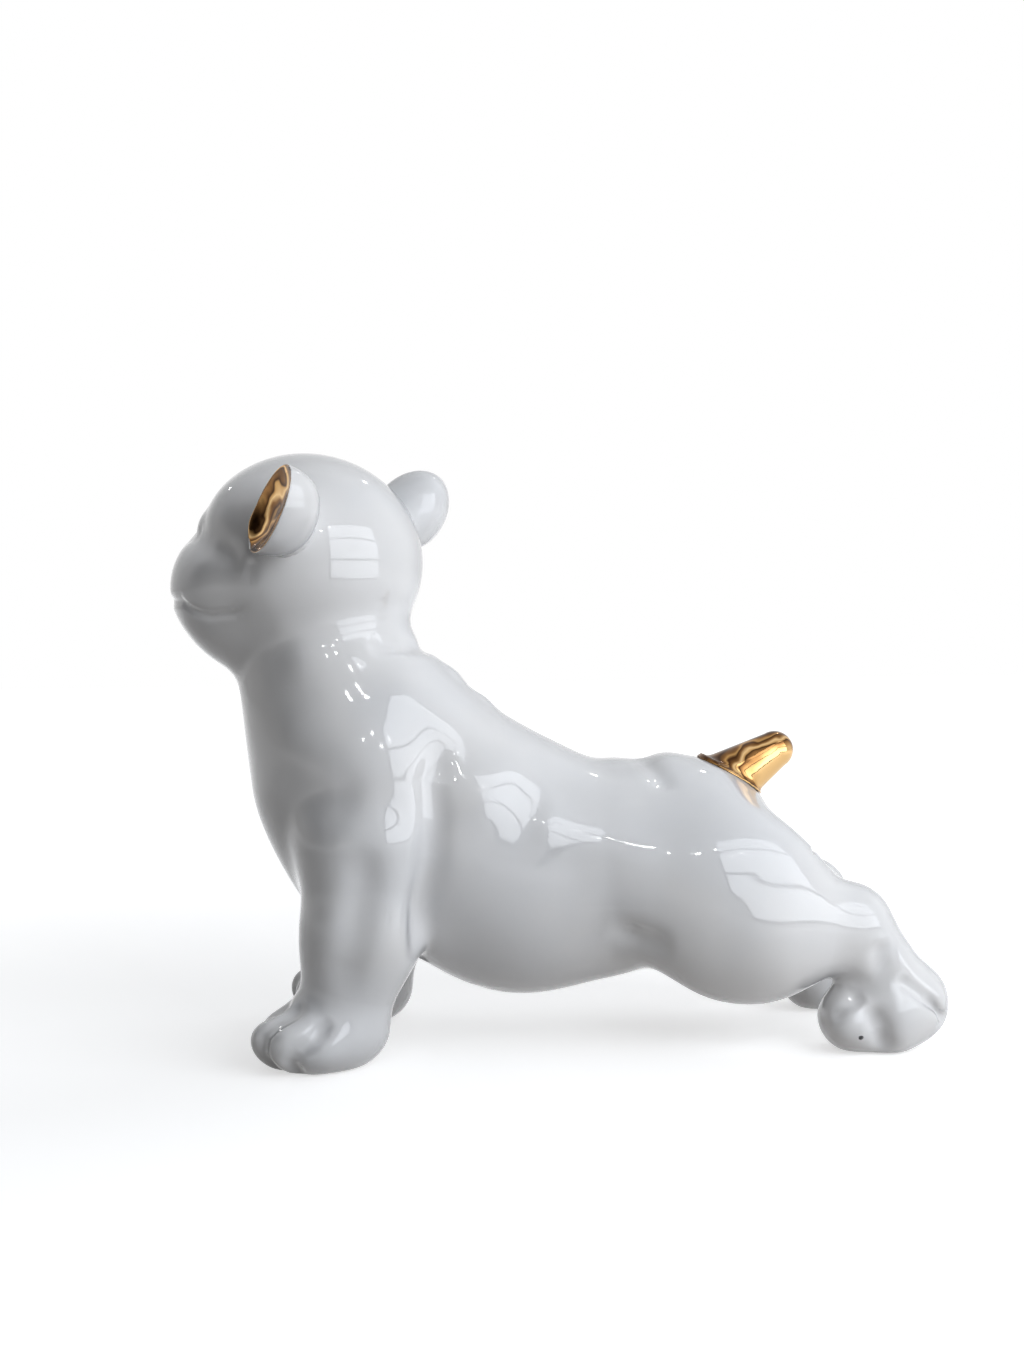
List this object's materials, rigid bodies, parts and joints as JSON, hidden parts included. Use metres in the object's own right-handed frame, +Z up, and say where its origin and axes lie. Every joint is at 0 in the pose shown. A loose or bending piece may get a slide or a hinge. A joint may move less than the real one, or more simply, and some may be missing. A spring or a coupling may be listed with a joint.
{
  "type": "ceramic puppy figurine",
  "caption": "Glazed white porcelain puppy stretching in a low upward bow, head turned, with bright gold lustre on its tail and inside its ears.",
  "frame": {"origin": "on the ground, under the middle of the puppy's bounding box", "axes": "+Z up; the puppy faces -X and its left side, the side in the picture, is -Y"},
  "size_m": [0.2324, 0.0922, 0.181],
  "materials": {
    "white_glaze": "clear glossy glaze over white porcelain, mirror-like in the window reflections, faintly thicker in the creases",
    "gold_lustre": "bright fired gold lustre over the glaze, mirror-like"
  },
  "bodies": {
    "root": {"torso_casting": "white_glaze", "head_casting": "white_glaze", "left_foreleg": "white_glaze", "right_foreleg": "white_glaze", "left_hind_leg": "white_glaze", "right_hind_leg": "white_glaze", "left_ear": "white_glaze", "right_ear": "white_glaze", "tail_core": "white_glaze", "left_ear_gold": "gold_lustre", "right_ear_gold": "gold_lustre", "tail_gold": "gold_lustre"}
  },
  "joints": []
}
